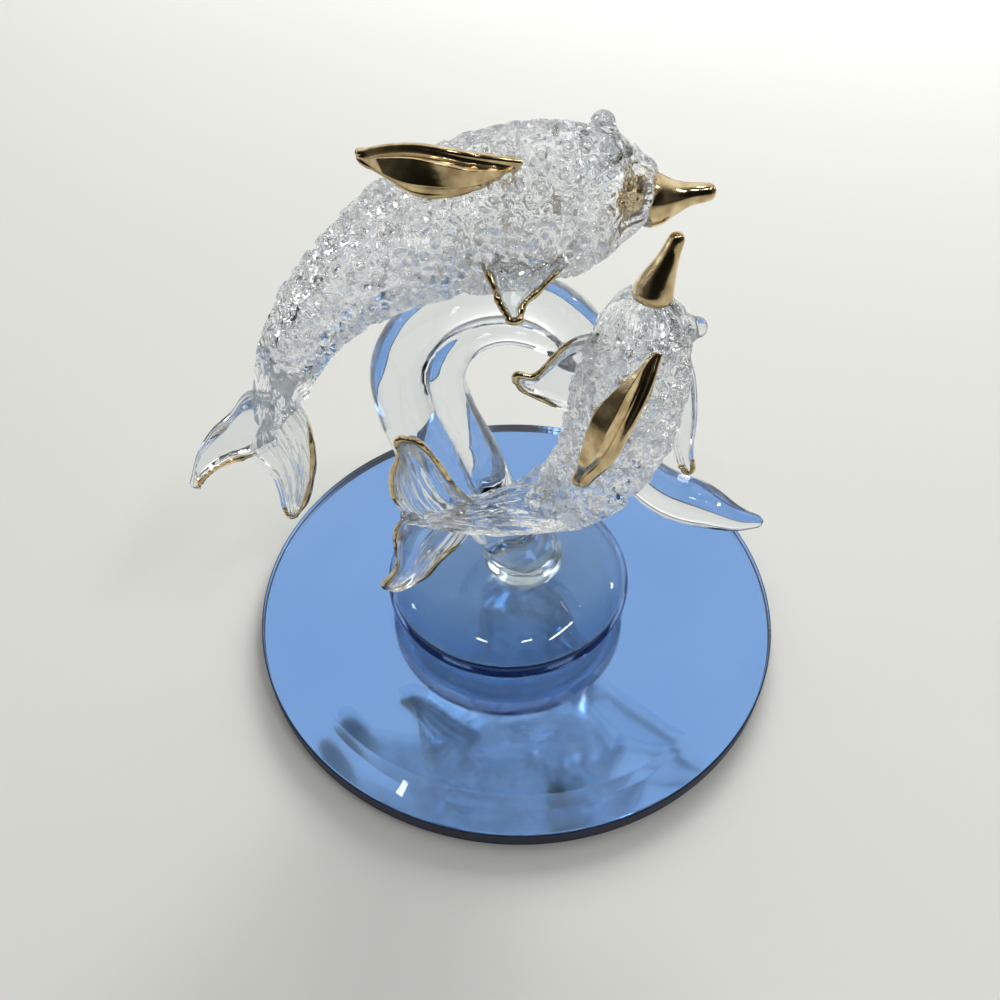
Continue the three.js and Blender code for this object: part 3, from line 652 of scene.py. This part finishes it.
THREAD = 0.5               # radius of the spun thread, mm
THREAD_DEPTH = 0.9         # depth between the threads, mm
ROW = 0.27                 # distance between the rings of a spun body, mm
HOLLOW = 0.82              # radius of the body's hollow as a share of the body's
HOLLOW_FROM = 4.6          # least radius of a body row that is hollow, mm
POCKET_SPACING = 1.8       # mean distance between air pockets, mm
POCKET_SIZE = 0.6          # middle radius of an air pocket, mm
POCKET_DEPTH = (1.1, 1.8)  # least and greatest depth of the pockets under the skin, mm
SEAM_REACH = 0.25          # how far the milky seam reaches along the beak, mm


def make_dolphin(name, plan, node_name, seed):
    """Dolphin: spun body with its hollow and air pockets, gilded beak and dorsal fin, bead, and gold rimmed fins."""
    rng = np.random.default_rng(seed)
    body = np.array(plan["body"])
    length = np.linalg.norm(np.diff(body[:, :3], axis=0), axis=1).sum()
    outer, faces = spun(body, 260, int(length / ROW), THREAD, THREAD_DEPTH, plan["calm"], rng)
    keep(add_mesh(name + "_body", outer, faces, SPUN_GLASS), node_name)
    hollow = body[body[:, 3] > HOLLOW_FROM] * np.array([1, 1, 1, HOLLOW])
    hollow[[0, -1], 3] *= 0.4
    inner, faces = rod(hollow, 120, 90)
    keep(add_mesh(name + "_hollow", inner, [f[:, ::-1] for f in faces], SPUN_GLASS), node_name)
    air = pockets(body, POCKET_SPACING, POCKET_SIZE, POCKET_DEPTH, plan["calm"], rng)
    keep(add_mesh(name + "_air", *air, SPUN_GLASS), node_name)
    points, faces = rod(plan["beak"], 48, 40)
    piece = keep(add_mesh(name + "_beak", points, faces, GOLD), node_name)
    piece.data.materials.append(SEAM)
    root, tip = (np.array(row[:3]) for row in (plan["beak"][0], plan["beak"][-1]))
    ahead = (np.concatenate([points[f].mean(1) for f in faces]) - root) @ (tip - root) / np.linalg.norm(tip - root)
    piece.data.polygons.foreach_set("material_index", (ahead < SEAM_REACH).astype(np.int32))
    keep(add_mesh(name + "_dorsal_fin", *blade(plan["dorsal"], 90, 100), GOLD), node_name)
    keep(add_mesh(name + "_bead", *rod(plan["bead"], 32, 12), FIN_GLASS), node_name)
    for part, shape in plan["blades"].items():
        keep(add_mesh(f"{name}_{part}", *blade(shape), FIN_GLASS), node_name)
        keep(add_mesh(f"{name}_{part}_gold", *gilded(shape, rng), GOLD), node_name)


def make_stage():
    """Pale matt table, 6 m wide, with faint broad clouds."""
    half = 3.0
    made, tree, shader = material("pale_table", {"Roughness": 0.6})
    two_tones(tree, shader, (noise(tree, 400.0, 2.0), 0), ((0.0, "D9D9D4"), (1.0, "DFDFDA")))
    corners = np.array([(-1, -1, 0), (1, -1, 0), (1, 1, 0), (-1, 1, 0)], float) * half / MM
    floor = add_mesh("floor", corners, [np.array([[0, 1, 2, 3]])], made)


AIM = Vector((0, 0, 0.05))


def softbox(name, place, size, power):
    """Area light at place in metres, turned to the ornament's middle."""
    lamp = bpy.data.lights.new(name, "AREA")
    lamp.shape = "RECTANGLE"
    lamp.size, lamp.size_y = size
    lamp.energy = power
    made = bpy.data.objects.new(name, lamp)
    made.location = place
    made.rotation_euler = (AIM - Vector(place)).to_track_quat("-Z", "Y").to_euler()
    bpy.context.scene.collection.objects.link(made)
    return made


VIEWER = (0.0, -0.77, 0.64)      # way to the viewer, who leans over the ornament and shades it
WALL = (0.06, 0.83, 0.555)       # way to the brightest part of the far wall
BACKDROP = 0.7                   # strength of the plain backdrop that only the camera sees


def make_light():
    """Soft room light: bright above and behind the ornament, darker low down and where the viewer leans over.

    Three lamp tubes and four small lamps give glints. Four windows only sparkle inside the glass."""
    world = bpy.data.worlds.new("studio")
    bpy.context.scene.world = world
    world.use_nodes = True
    tree = world.node_tree
    back = tree.nodes["Background"]
    place = node(tree, "ShaderNodeTexCoord")

    def toward(way):
        made = node(tree, "ShaderNodeVectorMath", {"operation": "DOT_PRODUCT", 1: way}, i0=(place, "Generated"))
        return made, "Value"

    def fading(source, start, end, low, high):
        return node(tree, "ShaderNodeMapRange", {"interpolation_type": "SMOOTHSTEP", "From Min": start, "From Max": end,
                                                 "To Min": low, "To Max": high}, Value=source), 0

    def joint(operation, first, second):
        return node(tree, "ShaderNodeMath", {"operation": operation}, i0=first, i1=second), 0

    split = node(tree, "ShaderNodeSeparateXYZ", {}, Vector=(place, "Generated"))
    rise = fading((split, "Z"), 0.0, 0.25, 0.3, 0.9)
    viewer = fading(toward(VIEWER), 0.4, 0.84, 1.0, 0.07)
    wall = fading(toward(WALL), 0.3, 0.78, 0.13, 1.0)
    room = joint("MULTIPLY", joint("MULTIPLY", rise, viewer), wall)
    ray = node(tree, "ShaderNodeLightPath")
    plain = node(tree, "ShaderNodeMath", {"operation": "MULTIPLY", 1: BACKDROP}, i0=(ray, "Is Camera Ray"))
    both = joint("MAXIMUM", room, (plain, 0))
    tree.links.new(both[0].outputs[0], back.inputs["Strength"])
    back.inputs["Color"].default_value = (0.985, 1, 0.975, 1)

    key = softbox("key_soft", (0.3, 1.02, 0.5), (0.7, 0.45), 14.4)
    key.visible_glossy = key.visible_transmission = False
    for name, place, length in (("tube_a", (-0.255, -0.368, 0.9), 0.13), ("tube_b", (0.176, -0.377, 0.92), 0.12),
                                ("tube_c", (0.513, -0.226, 0.84), 0.33)):
        softbox(name, place, (length, 0.03), 3.6 * length)
    for name, place, size in (("lamp_a", (0.1, 0.05, 1.0), 0.05), ("lamp_b", (-0.23, 0.157, 0.96), 0.018),
                              ("lamp_c", (-0.85, 0.1, 0.5), 0.06), ("lamp_d", (0.8, 0.35, 0.35), 0.06)):
        softbox(name, place, (size, size), 60 * size ** 2)
    for name, place in (("window_a", (-1.0, 0.2, 0.45)), ("window_b", (1.0, 0.2, 0.45)),
                        ("window_c", (-0.7, -0.8, 0.6)), ("window_d", (0.7, -0.8, 0.6))):
        made = softbox(name, place, (0.4, 0.4), 3.2)
        made.visible_diffuse = made.visible_glossy = False


def make_camera():
    """Camera at the photo's place and angle, found from the mirror's outline."""
    lens = bpy.data.cameras.new("camera")
    lens.sensor_width = 36
    lens.lens = 850 / 1000 * 36
    lens.clip_start = 0.01
    made = bpy.data.objects.new("camera", lens)
    made.location = Vector((-3.23, -107.32, 141.19)) * MM
    made.rotation_euler = (math.radians(90 - 46.16), 0, 0)
    bpy.context.scene.collection.objects.link(made)
    bpy.context.scene.camera = made


scene = bpy.context.scene
scene.view_settings.view_transform = "Standard"
scene.cycles.max_bounces = 24
scene.cycles.transmission_bounces = 24
scene.cycles.glossy_bounces = 8
make_camera()
make_stage()
make_light()
make_mirror()
make_dome()
make_wave()
make_dolphin("large_dolphin", LARGE, "large_dolphin", 11)
make_dolphin("small_dolphin", SMALL, "small_dolphin", 12)
